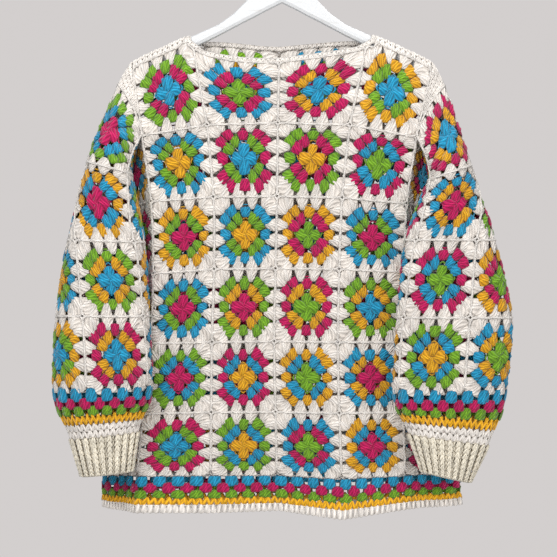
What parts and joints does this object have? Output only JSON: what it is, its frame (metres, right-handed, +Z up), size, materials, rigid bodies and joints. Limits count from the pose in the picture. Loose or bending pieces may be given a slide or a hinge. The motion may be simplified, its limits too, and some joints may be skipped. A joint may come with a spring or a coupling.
{
  "type": "crochet sweater on hanger",
  "caption": "Loose granny-square crochet sweater with balloon sleeves, striped hem and ribbed cuffs, hanging open on a two-arm hanger with a wire hook.",
  "frame": {"origin": "inside top of the hanger's hook, where a rail carries it", "axes": "+X to the right of the front view, +Y to the back, +Z up along the hook's stem"},
  "size_m": [0.6364, 0.127, 0.818],
  "materials": {
    "white_yarn": "matt soft white wool yarn, crocheted",
    "cream_yarn": "matt cream wool yarn, ribbed",
    "blue_yarn": "matt turquoise blue wool yarn, crocheted",
    "painted_wood": "white satin paint on wood",
    "hook_metal": "bright plated wire"
  },
  "bodies": {
    "root": {"front_yoke": "white_yarn", "front_body": "white_yarn", "back_yoke": "white_yarn", "back_body": "white_yarn", "neckband_front": "white_yarn", "neckband_back": "white_yarn", "sleeve_left": "white_yarn", "sleeve_right": "white_yarn", "sleeve_stripes_left": "blue_yarn", "sleeve_stripes_right": "blue_yarn", "cuff_left": "cream_yarn", "cuff_right": "cream_yarn", "hem_stripes": "blue_yarn", "hem_edge": "white_yarn", "hanger_body": "painted_wood", "hanger_hook": "hook_metal"}
  },
  "joints": []
}
